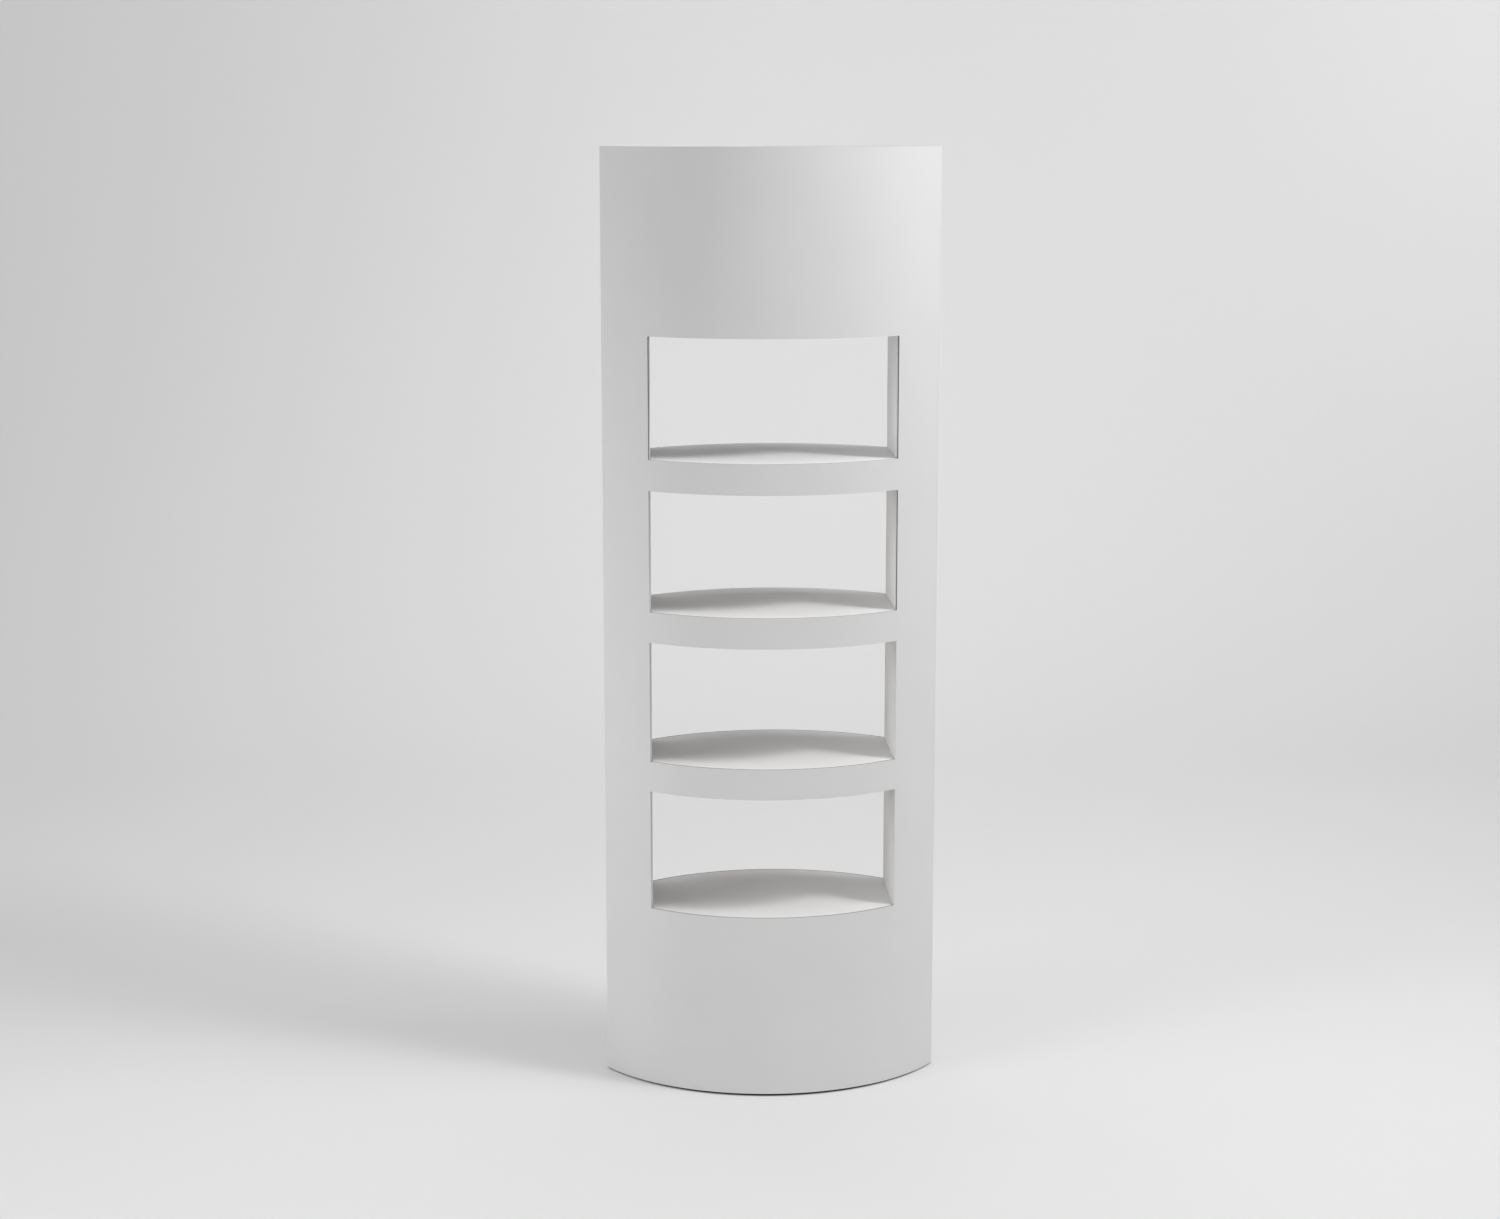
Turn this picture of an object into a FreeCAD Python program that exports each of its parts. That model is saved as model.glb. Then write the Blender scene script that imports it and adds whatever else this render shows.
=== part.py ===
import FreeCAD, Part
import math
import os

os.makedirs("parts", exist_ok=True)

V = FreeCAD.Vector

# ---------------------------------------------------------------- dimensions (mm)
# Frame: origin on the floor under the middle, X to the right, Y to the back, Z up.
WIDTH = 600.0          # corner to corner
DEPTH = 330.0          # front to back at the middle
HEIGHT = 1680.0        # floor to upper rim
FLOOR_GAP = 4.0        # the skins stop this far above the floor in the middle
CORNER_GAP = 1.5       # and this far at the corners: the lower edge is cut slightly hollow
HOLLOW_STEPS = 23      # straight steps of that hollow
BOARD = 3.0            # single-wall board of skins, ribs, beams and webs
DECK = 4.0             # shelf deck board
PANEL = 5.0            # double-wall board of base and top spreader
GLUE = 0.2             # glue line between glued faces
SKIN_STRIPS = 48       # equal strips that each curved skin face is divided into
FLAP = 30.0            # how far a glue flap of the front skin reaches back from the corner
FOLD_R = 2.0           # outer radius of a folded crease

WINDOW_WIDTH = 438.5
WINDOW_HEIGHT = 215.0
SHELF_TOPS = (330.0, 600.0, 870.0, 1140.0)   # deck tops = lower window edges

RIB_X = 215.5          # inner face of a side rib
RIB_FLANGE_X = 258.0   # where its glued flanges end
RIB_TOP = 1630.0
RIB_TAB = 40.0         # tab of the rib in the base board

DECK_SIDE_GAP = 0.5    # deck end to rib
EDGE_GAP = 0.8         # curved deck edge to skin
REST_GAP = 0.05        # loose panel above what it rests on

BEAM_Y = 50.0          # beam centre in front of and behind the middle
BEAM_WIDTH = 50.0
BEAM_HEIGHT = 48.0
NECK_LOW, NECK_HIGH = 30.0, 10.0   # hook neck below the beam top
HOOK_LOW = 38.0
HOOK_REACH = 8.0       # hook behind the rib
SLOT_HIGH = 1.7
FIT = 0.3              # clearance of tabs in slots

CEILING_Z = 1358.0     # underside of the panel over the top window
CEILING_TAB_Y = 45.0
CEILING_TAB_W = 40.0
CEILING_TAB_REACH = 7.0

PLINTH_CROSS_X = 75.0
PLINTH_LAP_Z = 140.0
HEADER_TOP = 1585.0    # leaves finger room under the top spreader
HEADER_LAP_Z = 1475.0
HEADER_TAB = (1450.0, 1500.0)

SPREADER_END_X = 262.0
HAND_SLOT_L, HAND_SLOT_W = 90.0, 28.0
BASE_END_X = 265.0

# ---------------------------------------------------------------- lens section
HALF_W = WIDTH / 2.0
SAG = DEPTH / 2.0
R = (HALF_W ** 2 + SAG ** 2) / (2.0 * SAG)   # outer radius of both skins
YC = R - SAG                                  # arc centres at y = +YC (front) and -YC (rear)


def front_pt(r, phi, z):
    return V(r * math.sin(phi), YC - r * math.cos(phi), z)


def arc_run(r, stops, z):
    """Arcs of one radius through the given angles in turn."""
    return [Part.Arc(front_pt(r, a, z), front_pt(r, (a + b) / 2.0, z), front_pt(r, b, z)).toShape()
            for a, b in zip(stops[:-1], stops[1:])]


def sheet(r_out, r_in, out_span, in_span, z0, z1, strips=1):
    """Curved sheet of the front arc between two radii; each arc has its own angle span.
    Both faces are divided alike into equal strips, so the wall keeps its thickness all along."""
    a0, a1 = out_span
    b0, b1 = in_span
    inner = [a0 + (a1 - a0) * i / strips for i in range(1, strips)]
    out_stops = [a0] + inner + [a1]
    in_stops = [b0] + inner + [b1]
    edges = arc_run(r_out, out_stops, z0)
    edges.append(Part.makeLine(front_pt(r_out, a1, z0), front_pt(r_in, b1, z0)))
    edges += arc_run(r_in, in_stops[::-1], z0)
    edges.append(Part.makeLine(front_pt(r_in, b0, z0), front_pt(r_out, a0, z0)))
    return Part.Face(Part.Wire(edges)).extrude(V(0, 0, z1 - z0))


def half_turn(shape):
    """Turn about the upright axis: front-left becomes rear-right."""
    turned = shape.copy()
    turned.rotate(V(0, 0, 0), V(0, 0, 1), 180.0)
    return turned


def box(x0, x1, y0, y1, z0, z1):
    return Part.makeBox(x1 - x0, y1 - y0, z1 - z0, V(x0, y0, z0))


def both_sides(x0, x1, y0, y1, z0, z1):
    """The same box at the right and at the left end."""
    return [box(x0, x1, y0, y1, z0, z1), box(-x1, -x0, y0, y1, z0, z1)]


def solid(shape, merge=True):
    if merge:
        shape = shape.removeSplitter()
    if shape.ShapeType != "Solid":
        assert len(shape.Solids) == 1, len(shape.Solids)
        shape = shape.Solids[0]
    assert shape.isValid()
    return shape


def round_vertical(shape, points, r):
    """Round the upright edges that stand on the given (x, y) points."""
    picked = []
    for e in shape.Edges:
        a, b = e.Vertexes[0].Point, e.Vertexes[-1].Point
        if abs(a.z - b.z) < 1.0 or math.hypot(a.x - b.x, a.y - b.y) > 1e-6:
            continue
        if any(math.hypot(a.x - x, a.y - y) < 1e-3 for x, y in points):
            picked.append(e)
    assert picked
    return shape.makeFillet(r, picked)


def lens_plate(r, end_x, z0, z1):
    """Plate bounded by both arcs of one radius and cut square at both ends."""
    y_end = math.sqrt(r * r - end_x * end_x) - YC
    y_mid = r - YC
    a, b = V(-end_x, -y_end, z0), V(end_x, -y_end, z0)
    c, d = V(end_x, y_end, z0), V(-end_x, y_end, z0)
    edges = [
        Part.Arc(a, V(0, -y_mid, z0), b).toShape(),
        Part.makeLine(b, c),
        Part.Arc(c, V(0, y_mid, z0), d).toShape(),
        Part.makeLine(d, a),
    ]
    return Part.Face(Part.Wire(edges)).extrude(V(0, 0, z1 - z0))


def inner_y(x, r):
    """Half depth of the lens of radius r at this x."""
    return math.sqrt(r * r - x * x) - YC


parts = {}

# ---------------------------------------------------------------- skins
def window_cutter(z0, z1):
    """Wedge that cuts square to the sheet, as a die cuts the flat blank."""
    phi = math.asin(WINDOW_WIDTH / 2.0 / R)
    far = 500.0
    pts = [V(0, YC, z0), front_pt(far, -phi, z0), front_pt(far, phi, z0), V(0, YC, z0)]
    return Part.Face(Part.makePolygon(pts)).extrude(V(0, 0, z1 - z0))


def lower_edge(x):
    """Height of the hollow lower edge of a skin above the floor."""
    return FLOOR_GAP - (FLOOR_GAP - CORNER_GAP) * (x / HALF_W) ** 2


def hollow_cutter():
    """Prism that takes the lower edge of a skin up to its hollow."""
    end = HALF_W + 6.0
    xs = [-end + 2.0 * end * i / HOLLOW_STEPS for i in range(HOLLOW_STEPS + 1)]
    pts = [V(x, -SAG - 5.0, lower_edge(x)) for x in xs]
    pts += [V(end, -SAG - 5.0, -5.0), V(-end, -SAG - 5.0, -5.0)]
    return Part.Face(Part.makePolygon(pts + pts[:1])).extrude(V(0, DEPTH + 10.0, 0))


def plain_skin():
    r_in = R - BOARD
    phi_out = math.acos(YC / R)
    phi_in = math.acos(YC / r_in)
    s = sheet(R, r_in, (-phi_out, phi_out), (-phi_in, phi_in), CORNER_GAP - 1.0, HEIGHT, SKIN_STRIPS)
    s = s.cut(hollow_cutter())
    for top in SHELF_TOPS:
        s = s.cut(window_cutter(top, top + WINDOW_HEIGHT))
    return s


skin = plain_skin()
parts["rear_skin"] = solid(half_turn(skin), merge=False)

# glue flaps of the front skin, folded in behind the rear skin at both corners
r_flap = R - BOARD - GLUE
phi0 = math.acos((YC + FLAP) / r_flap)
phi1 = math.acos((YC - 2.5) / r_flap)
flaps = [half_turn(sheet(r_flap, r_flap - BOARD, span, span, FLOOR_GAP, HEIGHT))
         for span in ((phi0, phi1), (-phi1, -phi0))]
parts["front_skin"] = solid(skin.fuse(flaps), merge=False)

# ---------------------------------------------------------------- side ribs
r_rib = R - BOARD - GLUE
f0 = math.asin(RIB_X / r_rib)
f1 = math.asin(RIB_FLANGE_X / r_rib)
front_flange = sheet(r_rib, r_rib - BOARD, (f0, f1), (f0, f1), PANEL, RIB_TOP)
rear_flange = half_turn(sheet(r_rib, r_rib - BOARD, (-f1, -f0), (-f1, -f0), PANEL, RIB_TOP))
outside = box(RIB_X, WIDTH, -SAG, SAG, 0.0, HEIGHT)   # the flanges stop at the rib's inner face
flanges = [front_flange.common(outside), rear_flange.common(outside)]
front_disc = Part.makeCylinder(r_rib, RIB_TOP - PANEL, V(0, YC, PANEL))
rear_disc = Part.makeCylinder(r_rib, RIB_TOP - PANEL, V(0, -YC, PANEL))
web = box(RIB_X, RIB_X + BOARD, -SAG, SAG, PANEL, RIB_TOP)
web = web.common(front_disc).common(rear_disc)
rib = web.fuse(flanges).removeSplitter()
y_fold = inner_y(RIB_X, r_rib)
rib = round_vertical(rib, [(RIB_X, -y_fold), (RIB_X, y_fold)], FOLD_R)
rib = rib.fuse(box(RIB_X, RIB_X + BOARD, -RIB_TAB / 2, RIB_TAB / 2, 0.5, PANEL + 1.0))

beam_tops = [top - DECK - REST_GAP for top in SHELF_TOPS]
tab_ys = []          # both side panels of both beams
for yb in (-BEAM_Y, BEAM_Y):
    tab_ys.append((yb - BEAM_WIDTH / 2, yb - BEAM_WIDTH / 2 + BOARD))
    tab_ys.append((yb + BEAM_WIDTH / 2 - BOARD, yb + BEAM_WIDTH / 2))
cuts = []
for zt in beam_tops:
    for y0, y1 in tab_ys:
        cuts.append(box(RIB_X - 1, RIB_X + BOARD + 1, y0 - FIT, y1 + FIT,
                        zt - NECK_LOW - FIT, zt - SLOT_HIGH))
for yc in (-CEILING_TAB_Y, CEILING_TAB_Y):
    cuts.append(box(RIB_X - 1, RIB_X + BOARD + 1,
                    yc - CEILING_TAB_W / 2 - FIT, yc + CEILING_TAB_W / 2 + FIT,
                    CEILING_Z - FIT, CEILING_Z + BOARD + FIT))
cuts.append(box(RIB_X - 1, RIB_X + BOARD + 1, -BOARD / 2 - FIT, BOARD / 2 + FIT,
                HEADER_TAB[0] - FIT, HEADER_TAB[1] + FIT))
rib = solid(rib.cut(cuts))
parts["right_rib"] = rib
parts["left_rib"] = solid(half_turn(rib))

# ---------------------------------------------------------------- shelves
def beam(yb, zt):
    """Folded channel, open below, with two hooks at each end."""
    x1 = RIB_X - FIT
    y0, y1 = yb - BEAM_WIDTH / 2, yb + BEAM_WIDTH / 2
    outer = box(-x1, x1, y0, y1, zt - BEAM_HEIGHT, zt)
    creases = [e for e in outer.Edges
               if abs(e.Vertexes[0].Point.z - zt) < 1e-6 and abs(e.Vertexes[-1].Point.z - zt) < 1e-6
               and abs(e.Vertexes[0].Point.x - e.Vertexes[-1].Point.x) > 1.0]
    outer = outer.makeFillet(FOLD_R, creases)
    b = outer.cut(box(-x1 - 1, x1 + 1, y0 + BOARD, y1 - BOARD, zt - BEAM_HEIGHT - 1, zt - BOARD))
    hooks = []
    back = RIB_X + BOARD + FIT
    for ya, yz in ((y0, y0 + BOARD), (y1 - BOARD, y1)):
        hooks += both_sides(x1 - 1, back + HOOK_REACH, ya, yz, zt - NECK_LOW, zt - NECK_HIGH)
        hooks += both_sides(back, back + HOOK_REACH, ya, yz, zt - HOOK_LOW, zt - NECK_HIGH)
    return solid(b.fuse(hooks))


r_deck = R - BOARD - EDGE_GAP
for i, top in enumerate(SHELF_TOPS, 1):
    parts["shelf_%d_deck" % i] = solid(lens_plate(r_deck, RIB_X - DECK_SIDE_GAP, top - DECK, top))
    zt = beam_tops[i - 1]
    parts["shelf_%d_front_beam" % i] = beam(-BEAM_Y, zt)
    parts["shelf_%d_rear_beam" % i] = beam(BEAM_Y, zt)

# ---------------------------------------------------------------- plinth
base = lens_plate(R - BOARD - 0.6, BASE_END_X, 0.0, PANEL)
for sx in (1, -1):
    xa, xb = sorted((sx * (RIB_X - FIT), sx * (RIB_X + BOARD + FIT)))
    base = base.cut(box(xa, xb, -RIB_TAB / 2 - FIT, RIB_TAB / 2 + FIT, -1, PANEL + 1))
parts["base_board"] = solid(base)

web_x = RIB_X - 0.5
long_web = box(-web_x, web_x, -BOARD / 2, BOARD / 2, PANEL, SHELF_TOPS[0] - DECK - REST_GAP)
half = BOARD / 2 + FIT / 2
for cx in (-PLINTH_CROSS_X, PLINTH_CROSS_X):
    long_web = long_web.cut(box(cx - half, cx + half, -5, 5, PANEL - 1, PLINTH_LAP_Z + FIT))
parts["plinth_long_web"] = solid(long_web)

cross_top = beam_tops[0] - BEAM_HEIGHT - REST_GAP
y_web = inner_y(PLINTH_CROSS_X + BOARD / 2, R - BOARD) - 1.0
for name, cx in (("plinth_left_cross_web", -PLINTH_CROSS_X), ("plinth_right_cross_web", PLINTH_CROSS_X)):
    w = box(cx - BOARD / 2, cx + BOARD / 2, -y_web, y_web, PANEL, cross_top)
    parts[name] = solid(w.cut(box(cx - 5, cx + 5, -half, half, PLINTH_LAP_Z, cross_top + 1)))

# ---------------------------------------------------------------- header
ceiling = lens_plate(r_deck, RIB_X - DECK_SIDE_GAP, CEILING_Z, CEILING_Z + BOARD)
tabs = []
for yc in (-CEILING_TAB_Y, CEILING_TAB_Y):
    tabs += both_sides(RIB_X - 2, RIB_X + BOARD + CEILING_TAB_REACH,
                       yc - CEILING_TAB_W / 2, yc + CEILING_TAB_W / 2, CEILING_Z, CEILING_Z + BOARD)
parts["ceiling_panel"] = solid(ceiling.fuse(tabs))

h0, h1 = CEILING_Z + BOARD + REST_GAP, HEADER_TOP
hl = box(-web_x, web_x, -BOARD / 2, BOARD / 2, h0, h1)
hl = hl.fuse(both_sides(web_x - 1, RIB_X + BOARD + CEILING_TAB_REACH, -BOARD / 2, BOARD / 2, *HEADER_TAB))
parts["header_long_web"] = solid(hl.cut(box(-half, half, -5, 5, HEADER_LAP_Z, h1 + 1)))
y_web = inner_y(BOARD / 2, R - BOARD) - 1.0
hc = box(-BOARD / 2, BOARD / 2, -y_web, y_web, h0, h1)
parts["header_cross_web"] = solid(hc.cut(box(-5, 5, -half, half, h0 - 1, HEADER_LAP_Z + FIT)))

spreader = lens_plate(r_deck, SPREADER_END_X, RIB_TOP + REST_GAP, RIB_TOP + REST_GAP + PANEL)
sx, sr = HAND_SLOT_L / 2 - HAND_SLOT_W / 2, HAND_SLOT_W / 2
z0 = RIB_TOP - 1
hand = [
    Part.makeLine(V(-sx, -sr, z0), V(sx, -sr, z0)),
    Part.Arc(V(sx, -sr, z0), V(sx + sr, 0, z0), V(sx, sr, z0)).toShape(),
    Part.makeLine(V(sx, sr, z0), V(-sx, sr, z0)),
    Part.Arc(V(-sx, sr, z0), V(-sx - sr, 0, z0), V(-sx, -sr, z0)).toShape(),
]
parts["top_spreader"] = solid(spreader.cut(Part.Face(Part.Wire(hand)).extrude(V(0, 0, PANEL + 3))))

# ---------------------------------------------------------------- export
for name, shape in parts.items():
    shape.exportStep("parts/%s.step" % name)
    bb = shape.BoundBox
    print("%-24s %10.1f mm3  x %.1f..%.1f  y %.1f..%.1f  z %.2f..%.2f" % (
        name, shape.Volume, bb.XMin, bb.XMax, bb.YMin, bb.YMax, bb.ZMin, bb.ZMax))
print(len(parts), "nodes, total", sum(s.Volume for s in parts.values()) / 1e9, "m3")
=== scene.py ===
import math

import bpy
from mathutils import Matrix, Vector


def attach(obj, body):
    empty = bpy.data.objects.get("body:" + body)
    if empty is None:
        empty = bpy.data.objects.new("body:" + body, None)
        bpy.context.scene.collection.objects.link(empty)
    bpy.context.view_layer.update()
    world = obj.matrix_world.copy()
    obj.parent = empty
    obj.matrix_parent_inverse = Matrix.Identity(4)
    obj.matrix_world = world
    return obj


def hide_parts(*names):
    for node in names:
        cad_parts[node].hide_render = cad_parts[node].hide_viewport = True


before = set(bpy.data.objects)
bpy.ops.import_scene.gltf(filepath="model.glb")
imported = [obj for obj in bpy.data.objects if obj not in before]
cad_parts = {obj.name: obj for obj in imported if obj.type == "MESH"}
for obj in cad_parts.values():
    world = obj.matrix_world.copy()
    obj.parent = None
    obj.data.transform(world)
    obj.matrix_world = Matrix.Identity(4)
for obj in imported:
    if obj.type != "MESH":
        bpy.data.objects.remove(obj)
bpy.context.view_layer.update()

MM = 0.001

# ------------------------------------------------------------------ sizes (mm, as in the CAD)
HALF_W, SAG, HEIGHT = 300.0, 165.0, 1680.0
FLOOR_GAP, CORNER_GAP = 4.0, 1.5
BOARD, DECK, GLUE = 3.0, 4.0, 0.2
R = (HALF_W ** 2 + SAG ** 2) / (2.0 * SAG)
YC = R - SAG
WINDOW_HALF, WINDOW_HEIGHT = 219.25, 215.0
SHELF_TOPS = (330.0, 600.0, 870.0, 1140.0)
RIB_X, RIB_FLANGE_X, RIB_TOP, PANEL = 215.5, 258.0, 1630.0, 5.0
FOLD_R = 2.0
FIT = 0.3
BEAM_Y, BEAM_WIDTH, BEAM_HEIGHT = 50.0, 50.0, 48.0
CEILING_Z = 1358.0
LINER, MEDIUM = 0.36, 0.3      # paper thickness of the board's faces and of its fluting
B_PITCH, C_PITCH = 6.4, 7.9    # flute pitch of the 3 mm and the 4 mm board


# ------------------------------------------------------------------ mesh building
class Build:
    """Collects faces of one piece, with a material slot and board coordinates for each corner."""

    def __init__(self):
        self.v, self.f, self.m, self.uv = [], [], [], []

    def vert(self, p, uv):
        self.v.append((p[0] * MM, p[1] * MM, p[2] * MM))
        self.uv.append((uv[0] * MM, uv[1] * MM))
        return len(self.v) - 1

    def face(self, ids, mat, flip):
        a, b, c, d = (Vector(self.v[i]) for i in ids)
        if (c - a).cross(d - b).length < 1e-14:
            return
        self.f.append(tuple(reversed(ids)) if flip else tuple(ids))
        self.m.append(mat)

    def object(self, name, mats, sharp=35.0):
        me = bpy.data.meshes.new(name)
        me.from_pydata(self.v, [], self.f)
        for mat in mats:
            me.materials.append(mat)
        me.polygons.foreach_set("material_index", self.m)
        me.polygons.foreach_set("use_smooth", [True] * len(self.f))
        layer = me.uv_layers.new(name="board")
        flat = []
        for loop in me.loops:
            flat.extend(self.uv[loop.vertex_index])
        layer.data.foreach_set("uv", flat)
        me.update()
        me.set_sharp_from_angle(angle=math.radians(sharp))
        me.validate()
        ob = bpy.data.objects.new(name, me)
        bpy.context.scene.collection.objects.link(ob)
        return ob


def turned(P, us, vs, d):
    """True if (u, v) is left-handed seen from the face at depth 0."""
    u, v, e = (us[0] + us[-1]) / 2 + 0.37, (vs[0] + vs[-1]) / 2 + 0.01, 1e-3
    p = Vector(P(u, d, v))
    du, dv, dd = (Vector(P(u + e, d, v)) - p), (Vector(P(u, d, v + e)) - p), (Vector(P(u, d + e, v)) - p)
    return du.cross(dv).dot(dd) > 0


def slab(B, P, us, vs, present, d0, d1, top, bottom, edge):
    """Closed sheet of paper between the depths d0 and d1, on the cells of the grid that are present."""
    flip = turned(P, us, vs, d0)
    nu, nv = len(us) - 1, len(vs) - 1
    here = [[present((us[i] + us[i + 1]) / 2, (vs[j] + vs[j + 1]) / 2) for j in range(nv)] for i in range(nu)]
    ids = {}

    def at(i, j, k):
        key = (i, j, k)
        if key not in ids:
            ids[key] = B.vert(P(us[i], d1 if k else d0, vs[j]), (us[i], vs[j]))
        return ids[key]

    for i in range(nu):
        for j in range(nv):
            if not here[i][j]:
                continue
            a = [(i, j), (i + 1, j), (i + 1, j + 1), (i, j + 1)]
            B.face([at(x, y, 0) for x, y in a], top, flip)
            B.face([at(x, y, 1) for x, y in reversed(a)], bottom, flip)
            for (p, q), (ni, nj) in zip(((0, 1), (1, 2), (2, 3), (3, 0)), ((i, j - 1), (i + 1, j), (i, j + 1), (i - 1, j))):
                if 0 <= ni < nu and 0 <= nj < nv and here[ni][nj]:
                    continue
                (x0, y0), (x1, y1) = a[p], a[q]
                B.face([at(x0, y0, 0), at(x0, y0, 1), at(x1, y1, 1), at(x1, y1, 0)], edge, flip)


def fluting(B, P, us, vs, present, d_mid, swing, pitch, paper, mat, u_from=None, u_to=None, steps=10):
    """Wavy paper between the two faces: crests run along v, cut where cells are missing."""
    flip = turned(P, us, vs, d_mid)
    u_lo = us[0] if u_from is None else u_from
    u_hi = us[-1] if u_to is None else u_to

    def runs(i):
        out, um = [], (us[i] + us[i + 1]) / 2
        for j in range(len(vs) - 1):
            if present(um, (vs[j] + vs[j + 1]) / 2):
                if out and out[-1][1] == j:
                    out[-1][1] = j + 1
                else:
                    out.append([j, j + 1])
        return tuple(map(tuple, out))

    groups = []                      # neighbouring columns with the same runs
    for i in range(len(us) - 1):
        r = runs(i)
        if groups and groups[-1][2] == r:
            groups[-1][1] = us[i + 1]
        else:
            groups.append([us[i], us[i + 1], r])
    step = pitch / steps
    for g0, g1, r in groups:
        g0, g1 = max(g0, u_lo), min(g1, u_hi)
        if g1 - g0 < 0.2 or not r:
            continue
        k0, k1 = math.ceil((g0 + 0.02) / step), math.floor((g1 - 0.02) / step)
        cols = [g0] + [k * step for k in range(k0, k1 + 1)] + [g1]
        for j0, j1 in r:
            grid = []
            for u in cols:
                d = d_mid + swing * math.cos(2 * math.pi * u / pitch)
                grid.append([B.vert(P(u, d + s * paper / 2, vs[j]), (u, vs[j])) for s in (-1, 1) for j in (j0, j1)])
            for a, b in zip(grid[:-1], grid[1:]):
                B.face([a[0], b[0], b[1], a[1]], mat, flip)
                B.face([a[2], a[3], b[3], b[2]], mat, flip)
                B.face([a[0], a[2], b[2], b[0]], mat, flip)
                B.face([a[1], b[1], b[3], a[3]], mat, flip)
            a, b = grid[0], grid[-1]
            B.face([a[0], a[1], a[3], a[2]], mat, flip)
            B.face([b[0], b[2], b[3], b[1]], mat, flip)


def corrugated(B, P, us, vs, present, thick, pitch, outer=0, inner=1, core=2, u_from=None, u_to=None):
    """Single-wall board: outer paper, fluting, inner paper."""
    slab(B, P, us, vs, present, 0.0, LINER, outer, core, outer)
    corrugated_back(B, P, us, vs, present, thick, pitch, inner, core, u_from, u_to)


def corrugated_back(B, P, us, vs, present, thick, pitch, inner=1, core=2, u_from=None, u_to=None):
    """The fluting and the inner paper of a single-wall board."""
    slab(B, P, us, vs, present, thick - LINER, thick, core, inner, inner)
    swing = (thick - 2 * LINER - MEDIUM) / 2 - 0.01
    fluting(B, P, us, vs, present, thick / 2, swing, pitch, MEDIUM, core, u_from, u_to)


def double_wall(B, P, us, vs, present, thick, pitch, outer=0, inner=1, core=2, cut=0):
    """Double-wall board: three papers with two flutings between them; cut is the slot of the outer papers' cut edges."""
    slab(B, P, us, vs, present, 0.0, LINER, outer, core, cut)
    slab(B, P, us, vs, present, (thick - LINER) / 2, (thick + LINER) / 2, core, core, core)
    slab(B, P, us, vs, present, thick - LINER, thick, core, inner, cut)
    gap = (thick - 3 * LINER) / 2
    for d_mid in (LINER + gap / 2, thick - LINER - gap / 2):
        fluting(B, P, us, vs, present, d_mid, (gap - MEDIUM) / 2 - 0.01, pitch, MEDIUM, core)


def spread(marks, most):
    """The marks, with equal steps no longer than `most` between them."""
    out = []
    marks = sorted(set(marks))
    for a, b in zip(marks[:-1], marks[1:]):
        n = max(1, math.ceil((b - a) / most - 1e-9))
        out += [a + (b - a) * k / n for k in range(n)]
    return out + [marks[-1]]


def everywhere(u, v):
    return True


# ------------------------------------------------------------------ materials
def shader(name, rough, specular=0.4):
    mat = bpy.data.materials.new(name)
    mat.use_nodes = True
    nt = mat.node_tree
    bsdf = nt.nodes["Principled BSDF"]
    bsdf.inputs["Roughness"].default_value = rough
    bsdf.inputs["Specular IOR Level"].default_value = specular
    return mat, nt, bsdf


def node(nt, kind, **values):
    n = nt.nodes.new(kind)
    for key, value in values.items():
        if key in n.inputs.keys():
            n.inputs[key].default_value = value
        else:
            setattr(n, key, value)
    return n


def ramp(nt, stops):
    n = nt.nodes.new("ShaderNodeValToRGB")
    while len(n.color_ramp.elements) < len(stops):
        n.color_ramp.elements.new(0.5)
    for e, (pos, col) in zip(n.color_ramp.elements, stops):
        e.position = pos
        e.color = (*col, 1.0)
    return n


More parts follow.
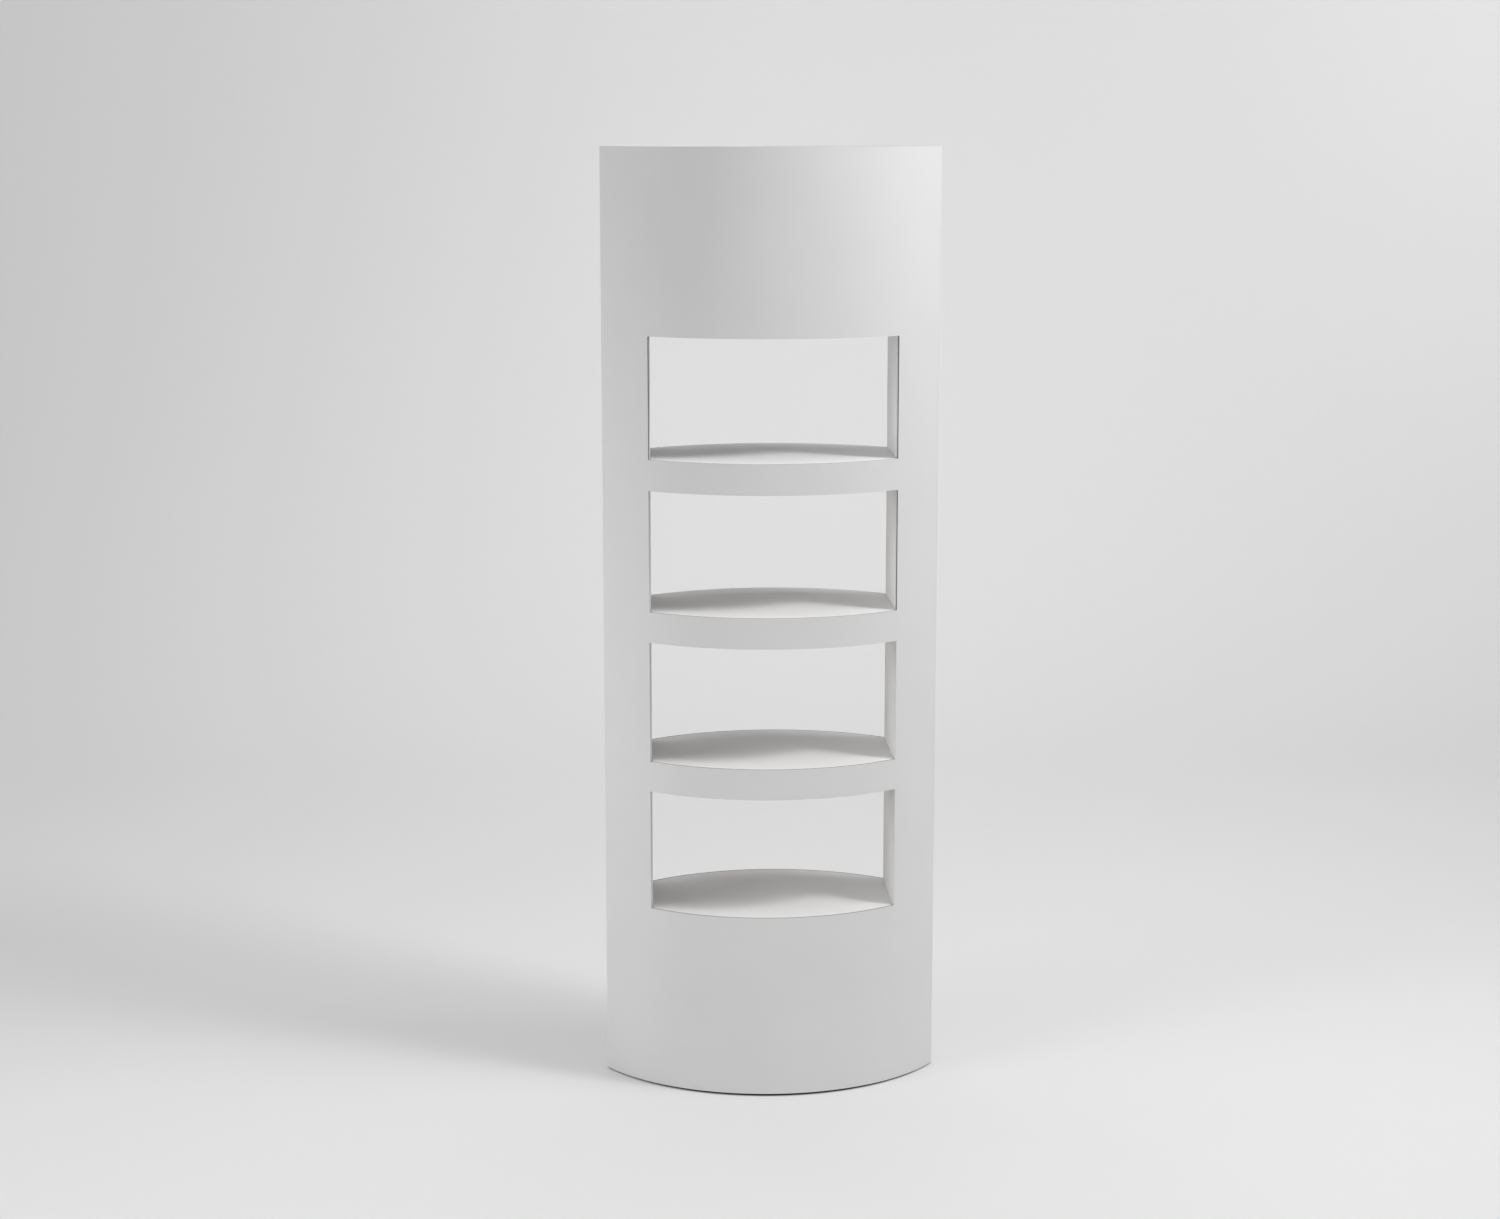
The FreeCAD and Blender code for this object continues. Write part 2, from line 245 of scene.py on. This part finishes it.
def paper(name, low, high, fleck, rough, flute_pitch, flute_depth, grain, stretch=(1.0, 1.0, 1.0), specular=0.4):
    """Paper face of a board: cloudy tone, fine fibres, a few flecks, and the faint ribs of the fluting behind it."""
    mat, nt, bsdf = shader(name, rough, specular)
    link = nt.links.new
    where = node(nt, "ShaderNodeTexCoord")
    sized = node(nt, "ShaderNodeMapping")
    sized.inputs["Scale"].default_value = stretch
    link(where.outputs["Object"], sized.inputs["Vector"])
    cloud = node(nt, "ShaderNodeTexNoise", Scale=7.0, Detail=3.0, Roughness=0.55)
    link(sized.outputs["Vector"], cloud.inputs["Vector"])
    fibre = node(nt, "ShaderNodeTexNoise", Scale=900.0, Detail=4.0, Roughness=0.65)
    link(sized.outputs["Vector"], fibre.inputs["Vector"])
    both = node(nt, "ShaderNodeMix", data_type="FLOAT")
    both.inputs[0].default_value = 0.45
    link(cloud.outputs["Fac"], both.inputs[2])
    link(fibre.outputs["Fac"], both.inputs[3])
    tone = ramp(nt, [(0.3, low), (0.7, high)])
    link(both.outputs[0], tone.inputs["Fac"])
    specks = node(nt, "ShaderNodeTexVoronoi", Scale=160.0)
    link(sized.outputs["Vector"], specks.inputs["Vector"])
    spot = ramp(nt, [(0.03, (1, 1, 1)), (0.09, (0, 0, 0))])
    link(specks.outputs["Distance"], spot.inputs["Fac"])
    fade = node(nt, "ShaderNodeMath", operation="MULTIPLY")
    link(spot.outputs["Color"], fade.inputs[0])
    fade.inputs[1].default_value = fleck[3]
    mix = node(nt, "ShaderNodeMix", data_type="RGBA")
    link(fade.outputs[0], mix.inputs[0])
    link(tone.outputs["Color"], mix.inputs[6])
    mix.inputs[7].default_value = (*fleck[:3], 1.0)
    link(mix.outputs[2], bsdf.inputs["Base Color"])
    gloss = node(nt, "ShaderNodeMapRange")
    gloss.inputs["From Min"].default_value = 0.3
    gloss.inputs["From Max"].default_value = 0.7
    gloss.inputs["To Min"].default_value = rough - 0.06
    gloss.inputs["To Max"].default_value = rough + 0.06
    link(both.outputs[0], gloss.inputs["Value"])
    link(gloss.outputs["Result"], bsdf.inputs["Roughness"])
    # relief: fibres, and shallow ribs one flute apart
    uv = node(nt, "ShaderNodeUVMap", uv_map="board")
    part = node(nt, "ShaderNodeSeparateXYZ")
    link(uv.outputs["UV"], part.inputs["Vector"])
    turn = node(nt, "ShaderNodeMath", operation="MULTIPLY")
    link(part.outputs["X"], turn.inputs[0])
    turn.inputs[1].default_value = 2 * math.pi / (flute_pitch * MM)
    wave = node(nt, "ShaderNodeMath", operation="COSINE")
    link(turn.outputs[0], wave.inputs[0])
    ribs = node(nt, "ShaderNodeBump", Strength=1.0, Distance=flute_depth * MM)
    link(wave.outputs[0], ribs.inputs["Height"])
    fuzz = node(nt, "ShaderNodeBump", Strength=1.0, Distance=grain * MM)
    link(fibre.outputs["Fac"], fuzz.inputs["Height"])
    link(ribs.outputs["Normal"], fuzz.inputs["Normal"])
    link(fuzz.outputs["Normal"], bsdf.inputs["Normal"])
    return mat


WHITE = paper("white_liner", (0.742, 0.742, 0.739), (0.772, 0.772, 0.770), (0.60, 0.60, 0.59, 0.10),
              0.70, B_PITCH, 0.004, 0.010, specular=0.25)
# Painted light: the deck liner is made lighter than the skins' white liner, standing in for more light falling on the
# shelf decks.
DECK_PAINTED_LIGHT_WHITE = paper("white_deck_liner_painted_light", (0.886, 0.885, 0.881), (0.912, 0.911, 0.908), (0.70, 0.70, 0.69, 0.10),
                   0.80, C_PITCH, 0.004, 0.010, specular=0.03)
KRAFT = paper("kraft_liner", (0.42, 0.302, 0.200), (0.54, 0.402, 0.280), (0.20, 0.13, 0.08, 0.35),
              0.82, B_PITCH, 0.010, 0.020, stretch=(1.0, 0.35, 0.35), specular=0.25)
GREYBACK = paper("grey_back_liner", (0.750, 0.712, 0.668), (0.815, 0.778, 0.735), (0.42, 0.38, 0.34, 0.25),
                 0.82, C_PITCH, 0.008, 0.015, specular=0.2)
# Painted shade: dark grey for the ceiling panel's underside, so the top window's shelf sits in deeper shade.
CEILING_SHADE_GREY = paper("ceiling_painted_shade_liner", (0.275, 0.275, 0.274), (0.325, 0.325, 0.324), (0.28, 0.275, 0.27, 0.25),
             0.82, B_PITCH, 0.008, 0.015, specular=0.2)
# Dark kraft fluting, also used as painted shade on the base board's paper cut edges.
KRAFT_CORE_AND_GAP_SHADE = paper("kraft_fluting_and_gap_shade", (0.150, 0.118, 0.090), (0.205, 0.165, 0.130), (0.10, 0.075, 0.055, 0.3),
                   0.88, B_PITCH, 0.0, 0.020, specular=0.15)
FLUTE = paper("fluting", (0.27, 0.257, 0.241), (0.35, 0.335, 0.316), (0.16, 0.15, 0.14, 0.3),
              0.88, B_PITCH, 0.0, 0.020, specular=0.15)


# ------------------------------------------------------------------ skins
PHI_W = math.asin(WINDOW_HALF / R)


def lower_edge(x):
    """Height of the slightly hollow lower edge above the floor."""
    return FLOOR_GAP - (FLOOR_GAP - CORNER_GAP) * (x / HALF_W) ** 2


def front_sheet(r0):
    """Maps (arc length at the outer face, depth, z) to the front arc; cut at the corner plane."""
    def P(u, d, v):
        r = r0 - d
        end = math.acos(min(1.0, YC / r))
        phi = max(-end, min(end, u / R))
        x = r * math.sin(phi)
        return (x, YC - r * math.cos(phi), v if v > FLOOR_GAP else lower_edge(x))
    return P


def rear_of(P):
    def Q(u, d, v):
        x, y, z = P(u, d, v)
        return (-x, -y, z)
    return Q


def in_skin(u, v):
    if abs(u) > PHI_W * R:
        return True
    return not any(top < v < top + WINDOW_HEIGHT for top in SHELF_TOPS)


skin_end = R * math.acos(YC / R)
skin_us = spread([-skin_end, -skin_end + 4.0, -PHI_W * R, 0.0, PHI_W * R, skin_end - 4.0, skin_end], 5.0)
skin_vs = spread([FLOOR_GAP, HEIGHT] + list(SHELF_TOPS) + [t + WINDOW_HEIGHT for t in SHELF_TOPS], 60.0)
core_end = R * math.acos(YC / (R - BOARD))


def closed_sides(B, P):
    """Paper strips that close the cut side edges of the two lower windows, and the left one of the next window."""
    edge = PHI_W * R
    left, right = (-edge + 0.02, -edge + 0.32), (edge - 0.32, edge - 0.02)
    for top, sides in zip(SHELF_TOPS, ((left, right), (left, right), (left,))):
        for lo, hi in sides:
            slab(B, P, [lo, hi], spread([top + 0.05, top + WINDOW_HEIGHT - 0.05], 60.0), everywhere, 0.0, BOARD, 0, 0, 0)


B = Build()
P = front_sheet(R)
corrugated(B, P, skin_us, skin_vs, in_skin, BOARD, B_PITCH, u_from=-core_end, u_to=core_end)
closed_sides(B, P)
# glue flaps behind the rear skin
r_flap = R - BOARD - GLUE
flap0, flap1 = math.acos((YC + 30.0) / r_flap), math.acos((YC - 2.0) / r_flap)


def flap_sheet(u, d, v):
    r, phi = r_flap - d, u / r_flap
    return (-r * math.sin(phi), -(YC - r * math.cos(phi)), v)


for lo, hi in ((flap0, flap1), (-flap1, -flap0)):
    us = spread([lo * r_flap, hi * r_flap], 5.0)
    corrugated(B, flap_sheet, us, [FLOOR_GAP, HEIGHT], everywhere, BOARD, B_PITCH)
front_skin = B.object("front_skin_board", [WHITE, WHITE, FLUTE])
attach(front_skin, "stand")
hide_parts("front_skin")

B = Build()
corrugated(B, rear_of(P), skin_us, skin_vs, in_skin, BOARD, B_PITCH, u_from=-core_end, u_to=core_end)
closed_sides(B, rear_of(P))
rear_skin = B.object("rear_skin_board", [WHITE, WHITE, FLUTE])
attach(rear_skin, "stand")
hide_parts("rear_skin")

# ------------------------------------------------------------------ shelf decks
r_deck = R - BOARD - 0.8
deck_x = RIB_X - 0.5
for n, top in enumerate(SHELF_TOPS, 1):
    def deck_sheet(u, d, v, top=top):
        return (u, v * (math.sqrt(r_deck * r_deck - u * u) - YC), top - d)

    B = Build()
    corrugated(B, deck_sheet, spread([-deck_x, deck_x], 5.0), [-1.0, -0.5, 0.0, 0.5, 1.0], everywhere, DECK, C_PITCH)
    # the decks' top faces take the lightened white: painted light
    deck = B.object("shelf_%d_deck_board" % n, [DECK_PAINTED_LIGHT_WHITE, GREYBACK, FLUTE])
    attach(deck, "shelf_%d" % n)
    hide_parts("shelf_%d_deck" % n)

# ------------------------------------------------------------------ side ribs
r_rib = R - BOARD - GLUE
phi_tip = math.asin(RIB_FLANGE_X / r_rib)
fold_x = RIB_X + FOLD_R
phi_fold = math.asin(fold_x / (r_rib - FOLD_R))
fold_y = YC - (r_rib - FOLD_R) * math.cos(phi_fold)        # centre of the front crease
run_flange = r_rib * (phi_tip - phi_fold)
turn_fold = math.pi / 2 + phi_fold
run_fold = FOLD_R * turn_fold
run_half = run_flange + run_fold - fold_y                  # from the flange tip to the middle of the web


def rib_face(u, d, v):
    """Outer paper of the rib: flange, crease, web, crease, flange; u = 0 in the middle of the web."""
    side = -1.0 if u < 0 else 1.0
    s = run_half - abs(u)
    if s < run_flange:
        phi, r = phi_tip - s / r_rib, r_rib - d
        x, y = r * math.sin(phi), YC - r * math.cos(phi)
    elif s < run_flange + run_fold:
        a = phi_fold - (s - run_flange) / FOLD_R
        r = FOLD_R - d
        x, y = fold_x + r * math.sin(a), fold_y - r * math.cos(a)
    else:
        x, y = RIB_X + d, -abs(u)
    return (x, -side * y, v)


def rib_web(u, d, v):
    return (RIB_X + d, u, v)


def rib_flange(side):
    def P(u, d, v):
        r, phi = r_rib - d, u / r_rib
        return (r * math.sin(phi), side * (r * math.cos(phi) - YC), v)
    return P


beam_tops = [top - DECK - 0.05 for top in SHELF_TOPS]
tab_ys = [(y0 - FIT, y0 + BOARD + FIT) for y0 in (-75.0, -28.0, 25.0, 72.0)]
rib_slots = [(y0, y1, zt - 30.0 - FIT, zt - 1.7) for zt in beam_tops for y0, y1 in tab_ys]
rib_slots += [(yc - 20.0 - FIT, yc + 20.0 + FIT, CEILING_Z - FIT, CEILING_Z + BOARD + FIT) for yc in (-45.0, 45.0)]
rib_slots += [(-BOARD / 2 - FIT, BOARD / 2 + FIT, 1450.0 - FIT, 1500.0 + FIT)]


def in_rib(u, v):
    if v < PANEL:
        return abs(u) < 20.0
    return not any(a < u < b and c < v < d for a, b, c, d in rib_slots)


rib_vs = spread([0.5, PANEL, RIB_TOP] + [z for q in rib_slots for z in q[2:]], 80.0)
slot_us = [-20.0, 0.0, 20.0] + [y for q in rib_slots for y in q[:2]]
crease = [run_half - run_flange - run_fold * k / 6 for k in range(7)]
face_us = spread(slot_us + [k * c for c in crease + [run_half] for k in (-1, 1)], 8.0)
web_end = math.sqrt((r_rib - BOARD) ** 2 - (RIB_X + BOARD) ** 2) - YC - 0.3
web_us = spread(slot_us + [-web_end, web_end], 8.0)
flange_us = spread([r_rib * math.asin((RIB_X + BOARD + 0.3) / (r_rib - BOARD)), r_rib * phi_tip], 5.0)


def plain_rib(u, v):
    return v > PANEL


for name, turn in (("right_rib", lambda P: P), ("left_rib", rear_of)):
    B = Build()
    slab(B, turn(rib_face), face_us, rib_vs, in_rib, 0.0, LINER, 0, 2, 0)
    corrugated_back(B, turn(rib_web), web_us, rib_vs, in_rib, BOARD, B_PITCH)
    for side in (-1.0, 1.0):
        corrugated_back(B, turn(rib_flange(side)), flange_us, [PANEL, RIB_TOP], plain_rib, BOARD, B_PITCH)
    rib = B.object(name + "_board", [WHITE, WHITE, FLUTE])
    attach(rib, "stand")
    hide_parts(name)

# ------------------------------------------------------------------ shelf beams
beam_x = RIB_X - FIT
hook_in, hook_out = RIB_X + BOARD + FIT, RIB_X + BOARD + FIT + 8.0
beam_us = spread([k * x for x in (beam_x, hook_in, hook_out) for k in (-1, 1)], 12.0)
run_side, run_turn, run_top = BEAM_HEIGHT - FOLD_R, FOLD_R * math.pi / 2, BEAM_WIDTH / 2 - FOLD_R
side_start = run_top + run_turn


def in_side(u, drop):
    """Side panel with its hooks; drop is measured down from the beam's top."""
    if abs(u) < beam_x:
        return True
    if abs(u) < hook_in:
        return 10.0 < drop < 30.0
    return 10.0 < drop < 38.0


def in_beam(u, v):
    if abs(v) < side_start:
        return abs(u) < beam_x
    return in_side(u, FOLD_R + abs(v) - side_start)


def in_panel(u, v):
    return in_side(u, v)


def in_top(u, v):
    return abs(u) < beam_x


drops = [10.0, 30.0, 38.0, BEAM_HEIGHT]
beam_vs = sorted(set([k * v for k in (-1, 1) for v in
                      [0.0, run_top] + [run_top + run_turn * i / 4 for i in range(1, 5)]
                      + [side_start + q - FOLD_R for q in drops]]))

for n, zt in enumerate(beam_tops, 1):
    for label, yb in (("front", -BEAM_Y), ("rear", BEAM_Y)):
        def beam_face(u, d, v, yb=yb, zt=zt):
            k, s = (-1.0 if v < 0 else 1.0), abs(v)
            if s <= run_top:
                y, z = s, -d
            elif s <= side_start:
                a, r = (s - run_top) / FOLD_R, FOLD_R - d
                y, z = run_top + r * math.sin(a), -FOLD_R + r * math.cos(a)
            else:
                y, z = BEAM_WIDTH / 2 - d, -FOLD_R - (s - side_start)
            return (u, yb + k * y, zt + z)

        def beam_top(u, d, v, yb=yb, zt=zt):
            return (u, yb + v, zt - d)

        B = Build()
        slab(B, beam_face, beam_us, beam_vs, in_beam, 0.0, LINER, 0, 2, 0)
        top_end = BEAM_WIDTH / 2 - BOARD
        corrugated_back(B, beam_top, spread([-beam_x, beam_x], 12.0), [-top_end, 0.0, top_end], in_top, BOARD, B_PITCH)
        for k in (-1.0, 1.0):
            def beam_side(u, d, v, yb=yb, zt=zt, k=k):
                return (u, yb + k * (BEAM_WIDTH / 2 - d), zt - v)

            corrugated_back(B, beam_side, beam_us, [BOARD] + drops, in_panel, BOARD, B_PITCH)
        name = "shelf_%d_%s_beam" % (n, label)
        beam = B.object(name + "_board", [KRAFT, KRAFT, KRAFT_CORE_AND_GAP_SHADE])
        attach(beam, "stand")
        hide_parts(name)

# ------------------------------------------------------------------ panel over the top window
tab_x = RIB_X + BOARD + 7.0


def lens_rows(r, marks, z, up):
    """Flat lens panel: v runs edge, marks..., edge in whole steps; the depth goes up or down from z."""
    last = len(marks)

    def P(u, d, v):
        edge = math.sqrt(max(0.0, r * r - u * u)) - YC
        rows = [-edge] + list(marks) + [edge]
        j = max(0, min(last, int(math.floor(v))))
        y = rows[j] + (rows[j + 1] - rows[j]) * (v - j)
        return (u, y, z + d if up else z - d)
    return P


def in_ceiling(u, v):
    return abs(u) < deck_x or 1.0 < v < 2.0 or 3.0 < v < 4.0


B = Build()
corrugated(B, lens_rows(r_deck, (-65.0, -25.0, 25.0, 65.0), CEILING_Z, True),
           spread([-tab_x, -deck_x, 0.0, deck_x, tab_x], 6.0), [0.0, 1.0, 2.0, 3.0, 4.0, 5.0], in_ceiling, BOARD, B_PITCH)
# the ceiling's underside takes the painted-shade grey
ceiling = B.object("ceiling_panel_board", [CEILING_SHADE_GREY, KRAFT, FLUTE])
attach(ceiling, "stand")
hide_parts("ceiling_panel")

# ------------------------------------------------------------------ base board
base_x, tab_y = 265.0, 20.0 + FIT
tab_in, tab_out = RIB_X - FIT, RIB_X + BOARD + FIT


def in_base(u, v):
    return not (tab_in < abs(u) < tab_out and 1.0 < v < 2.0)


# Painted shade: the base board's paper cut edges take the dark fluting colour (cut=2), darkening the gap under the
# skins' lower edge.
B = Build()
double_wall(B, lens_rows(R - BOARD - 0.6, (-tab_y, tab_y), PANEL, False),
            spread([k * x for x in (base_x, tab_out, tab_in) for k in (-1, 1)] + [0.0], 6.0),
            [0.0, 0.5, 1.0, 1.5, 2.0, 2.5, 3.0], in_base, PANEL, B_PITCH, cut=2)
base = B.object("base_board_board", [KRAFT, KRAFT, KRAFT_CORE_AND_GAP_SHADE])
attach(base, "stand")
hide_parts("base_board")

# ------------------------------------------------------------------ lift-out panel in the top, with its hand slot
hand_sx, hand_r = 31.0, 14.0
spreader_z = RIB_TOP + 0.05


def hand_half(u):
    a = abs(u)
    if a <= hand_sx:
        return hand_r
    if a <= hand_sx + hand_r:
        return math.sqrt(max(0.0, hand_r ** 2 - (a - hand_sx) ** 2))
    return min(hand_r, (a - hand_sx - hand_r) * 0.5)


def spreader_sheet(u, d, v):
    edge, h = math.sqrt(r_deck * r_deck - u * u) - YC, hand_half(u)
    rows = (-edge, -h, h, edge)
    j = max(0, min(2, int(math.floor(v))))
    return (u, rows[j] + (rows[j + 1] - rows[j]) * (v - j), spreader_z + PANEL - d)


def in_spreader(u, v):
    return not (abs(u) < hand_sx + hand_r and 1.0 < v < 2.0)


hand_us = [hand_sx + hand_r * math.sin(math.pi / 2 * i / 10) for i in range(11)]
B = Build()
double_wall(B, spreader_sheet, spread([k * x for x in hand_us + [262.0, 73.0] for k in (-1, 1)] + [0.0], 6.0),
            [0.0, 0.5, 1.0, 2.0, 2.5, 3.0], in_spreader, PANEL, B_PITCH)
spreader = B.object("top_spreader_board", [WHITE, WHITE, FLUTE])
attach(spreader, "top_panel")
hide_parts("top_spreader")

# ------------------------------------------------------------------ webs inside plinth and header
web_x = RIB_X - 0.5
lap = BOARD / 2 + FIT / 2
cross_y = math.sqrt((R - BOARD) ** 2 - (75.0 + BOARD / 2) ** 2) - YC - 1.0
head_y = math.sqrt((R - BOARD) ** 2 - (BOARD / 2) ** 2) - YC - 1.0
head_low, head_top = CEILING_Z + BOARD + 0.05, 1585.0
plinth_top = SHELF_TOPS[0] - DECK - 0.05
cross_top = beam_tops[0] - BEAM_HEIGHT - 0.05
webs = {
    "plinth_long_web": ("x", 0.0, web_x, PANEL, plinth_top,
                        [(-75.0 - lap, -75.0 + lap, PANEL, 140.0 + FIT), (75.0 - lap, 75.0 + lap, PANEL, 140.0 + FIT)], None),
    "plinth_left_cross_web": ("y", -75.0, cross_y, PANEL, cross_top, [(-lap, lap, 140.0, cross_top)], None),
    "plinth_right_cross_web": ("y", 75.0, cross_y, PANEL, cross_top, [(-lap, lap, 140.0, cross_top)], None),
    "header_long_web": ("x", 0.0, web_x, head_low, head_top, [(-lap, lap, 1475.0, head_top)], (tab_x, 1450.0, 1500.0)),
    "header_cross_web": ("y", 0.0, head_y, head_low, head_top, [(-lap, lap, head_low, 1475.0 + FIT)], None),
}
for name, (axis, at, end, z0, z1, laps, tab) in webs.items():
    def web_sheet(u, d, v, axis=axis, at=at):
        return (u, at - BOARD / 2 + d, v) if axis == "x" else (at + BOARD / 2 - d, u, v)

    def in_web(u, v, end=end, laps=laps, tab=tab):
        if abs(u) > end:
            return tab is not None and tab[1] < v < tab[2]
        return not any(a < u < b and c < v < d for a, b, c, d in laps)

    us = [-end, end, 0.0] + [u for q in laps for u in q[:2]] + ([-tab[0], tab[0]] if tab else [])
    vs = [z0, z1] + [z for q in laps for z in q[2:]] + (list(tab[1:]) if tab else [])
    B = Build()
    corrugated(B, web_sheet, spread(us, 12.0), spread(vs, 80.0), in_web, BOARD, B_PITCH)
    web = B.object(name + "_board", [KRAFT, KRAFT, KRAFT_CORE_AND_GAP_SHADE])
    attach(web, "stand")
    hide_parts(name)

# ------------------------------------------------------------------ stage
floor_mat, nt, bsdf = shader("studio_sweep", 0.7, 0.2)
tint = node(nt, "ShaderNodeTexNoise", Scale=0.6, Detail=2.0)
shade = ramp(nt, [(0.3, (0.80, 0.80, 0.80)), (0.7, (0.82, 0.82, 0.82))])
nt.links.new(tint.outputs["Fac"], shade.inputs["Fac"])
nt.links.new(shade.outputs["Color"], bsdf.inputs["Base Color"])

wall_y, bend, half, tall, near = 5.0, 2.6, 9.0, 7.0, -9.0
low = -0.0003
profile = [(near, low), (wall_y - bend, low)]
profile += [(wall_y - bend + bend * math.sin(a), low + bend - bend * math.cos(a))
            for a in [math.pi / 2 * k / 24 for k in range(1, 25)]]
profile += [(wall_y, tall)]
verts, faces = [], []
for y, z in profile:
    verts += [(-half, y, z), (half, y, z)]
for k in range(len(profile) - 1):
    faces.append((2 * k, 2 * k + 1, 2 * k + 3, 2 * k + 2))
me = bpy.data.meshes.new("sweep")
me.from_pydata(verts, [], faces)
me.polygons.foreach_set("use_smooth", [True] * len(faces))
me.materials.append(floor_mat)
sweep = bpy.data.objects.new("sweep", me)
bpy.context.scene.collection.objects.link(sweep)


def area(name, place, aim, size, watts, spread_deg=180.0):
    light = bpy.data.lights.new(name, "AREA")
    light.shape = "DISK"
    light.size = size
    light.energy = watts
    light.spread = math.radians(spread_deg)
    ob = bpy.data.objects.new(name, light)
    ob.location = place
    ob.rotation_euler = (Vector(aim) - Vector(place)).to_track_quat("-Z", "Y").to_euler()
    ob.visible_camera = False
    bpy.context.scene.collection.objects.link(ob)
    return ob


# soft boxes: large ones above and high on the right, a small key, weak fills on the left, washes for floor and backdrop
area("overhead", (0.0, 0.0, 5.5), (0.0, 0.0, 0.0), 3.5, 62.2)
area("key", (1.45, -0.80, 2.70), (0.0, 0.0, 1.2), 0.4, 10.9)
area("right_front", (3.37, -1.94, 4.89), (0.0, 0.0, 1.0), 1.1, 52.6)
area("right_side", (3.76, -1.01, 4.89), (0.0, 0.0, 1.0), 1.6, 46.5)
area("left_front", (-4.32, -2.49, 3.32), (0.0, 0.0, 1.0), 2.0, 38.4)
area("left_low", (-3.40, -2.80, 0.70), (0.0, 0.0, 0.1), 0.8, 0.29, 36.0)
area("left_edge", (-4.20, -1.20, 0.70), (0.0, 0.0, 0.8), 0.8, 0.59, 30.0)
area("left_rear", (-4.60, 2.40, 1.20), (0.0, 0.0, 1.0), 1.0, 1.02, 40.0)
area("rear_low", (-2.12, 3.39, 1.20), (0.0, 0.0, 1.0), 1.0, 1.02, 40.0)
area("floor_rear", (0.0, 2.9, 5.0), (0.0, 3.4, 0.0), 1.6, 2.87, 60.0)
area("floor_left", (-2.1, -2.3, 4.6), (-1.9, -1.5, 0.0), 1.4, 2.0, 50.0)
area("wash_left", (-3.2, 2.6, 4.6), (-3.39, 5.0, 2.2), 1.6, 1.45, 100.0)
area("wash_middle", (0.0, 2.6, 4.6), (0.0, 5.0, 2.2), 1.6, 5.88, 100.0)
area("wash_right", (3.2, 2.6, 4.6), (3.39, 5.0, 2.2), 1.6, 14.0, 100.0)

world = bpy.data.worlds.new("studio")
bpy.context.scene.world = world
world.use_nodes = True
bg = world.node_tree.nodes["Background"]
bg.inputs["Color"].default_value = (1.0, 1.0, 1.0, 1.0)
bg.inputs["Strength"].default_value = 0.385

# ------------------------------------------------------------------ camera
cam_data = bpy.data.cameras.new("camera")
cam_data.sensor_width = 36.0
cam_data.lens = 65.376
cam = bpy.data.objects.new("camera", cam_data)
cam.location = (-0.2539, -4.8242, 1.7000)
cam.rotation_euler = (math.pi / 2 - 0.17267, 0.0, -0.04492)
bpy.context.scene.collection.objects.link(cam)
bpy.context.scene.camera = cam

view = bpy.context.scene.view_settings
view.view_transform = "Standard"
view.look = "None"
view.exposure = 0.0
view.gamma = 1.0
